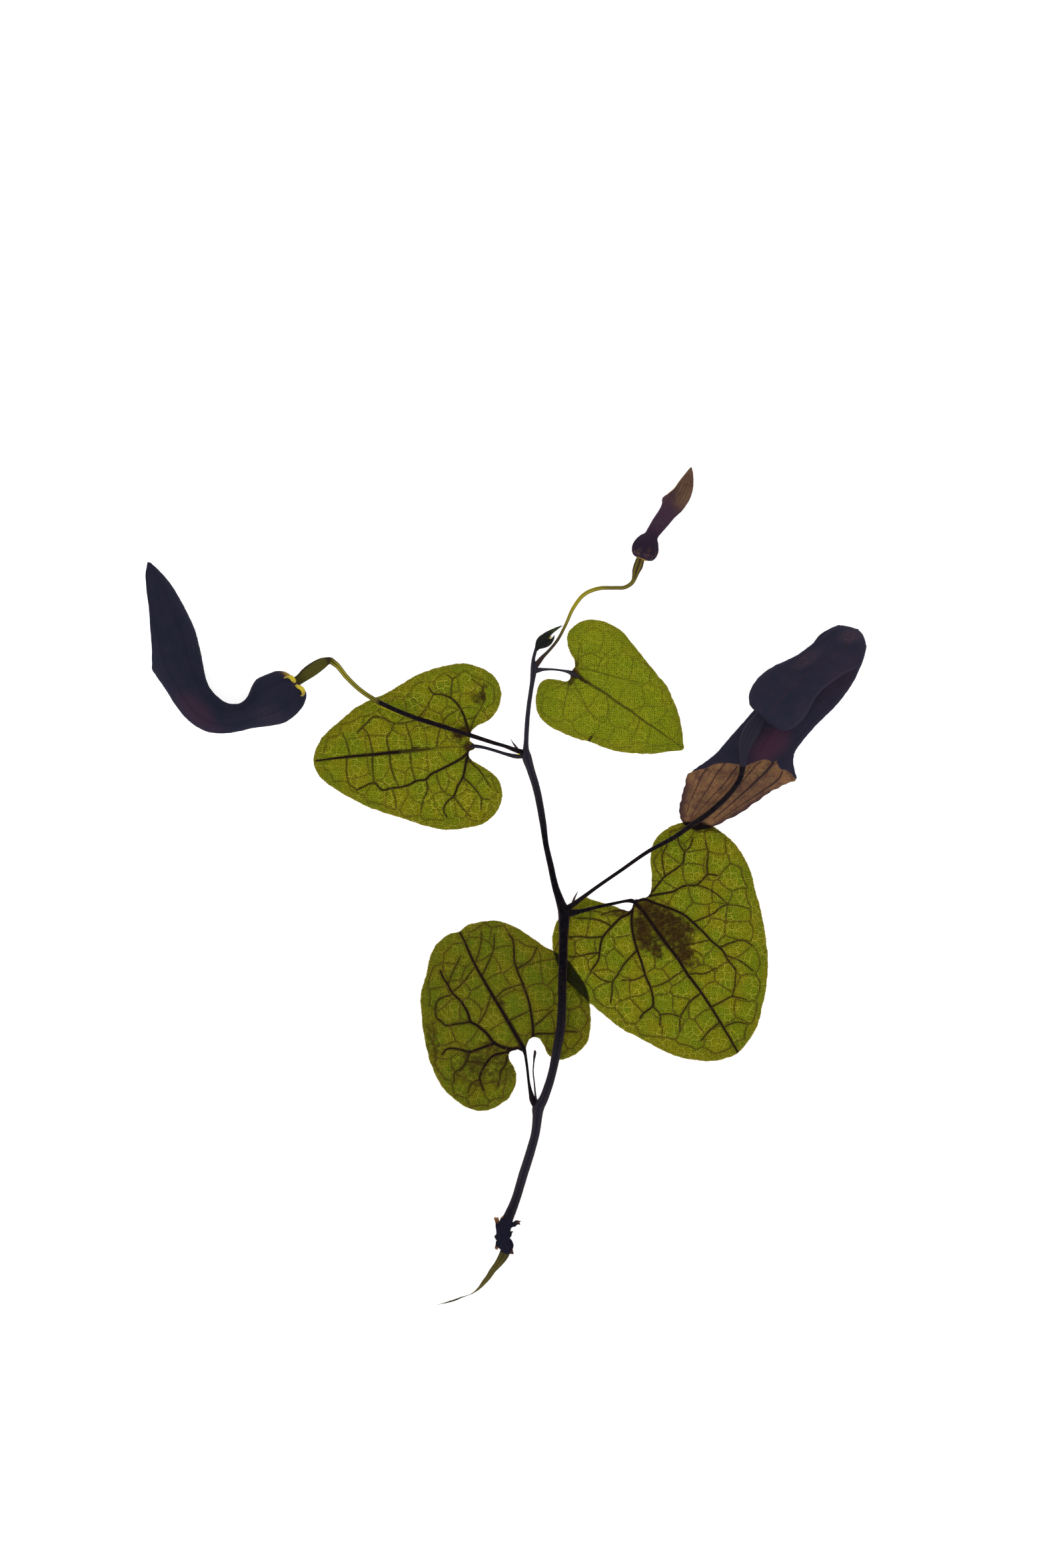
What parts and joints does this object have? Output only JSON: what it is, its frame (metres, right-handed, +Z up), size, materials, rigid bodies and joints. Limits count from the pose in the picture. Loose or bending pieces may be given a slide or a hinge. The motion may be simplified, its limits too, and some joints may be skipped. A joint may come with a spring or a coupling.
{
  "type": "andalusian dutchmans pipe",
  "caption": "Cut flowering shoot of a climbing plant laid flat: zigzag stem, heart-shaped leaves with netted veins and dark curved pipe flowers with swollen bases.",
  "frame": {"origin": "middle of the shoot's footprint, on the surface it lies on", "axes": "+Y from the torn base to the youngest flower, +Z up from the surface, +X towards the folded flower on the right"},
  "size_m": [0.1344, 0.1572, 0.0129],
  "materials": {
    "leaf_green": "thin, satin, lets light through, with a net of fine veins",
    "stem_bark": "smooth, nearly black, satin",
    "flower_stalk_skin": "smooth, olive brown, satin",
    "ovary_skin": "ribbed, olive green, satin",
    "pipe_skin": "waxy, dark purple, satin",
    "young_leaf_skin": "folded, black green, matte",
    "dry_bark": "dry, torn, matte",
    "withered_skin": "withered, olive, matte"
  },
  "bodies": {
    "root": {"main_stem": "stem_bark", "lower_leaf_blade": "leaf_green", "right_leaf_blade": "leaf_green", "left_leaf_blade": "leaf_green", "upper_leaf_blade": "leaf_green", "lower_leaf_stalk": "stem_bark", "right_leaf_stalk": "stem_bark", "left_leaf_stalk": "stem_bark", "upper_leaf_stalk": "stem_bark", "young_leaf": "young_leaf_skin", "left_flower_stalk": "flower_stalk_skin", "left_ovary": "ovary_skin", "left_pipe": "pipe_skin", "top_flower_stalk": "flower_stalk_skin", "top_ovary": "ovary_skin", "top_pipe": "pipe_skin", "right_flower_stalk": "flower_stalk_skin", "right_ovary": "ovary_skin", "right_pipe": "pipe_skin", "dry_flower_stalk": "dry_bark", "second_joint_spike": "dry_bark", "third_joint_spike": "dry_bark", "bark_scale_left": "dry_bark", "bark_scale_right": "dry_bark", "bark_scale_low": "dry_bark", "bark_scale_low_left": "dry_bark", "withered_tail": "withered_skin"}
  },
  "joints": []
}
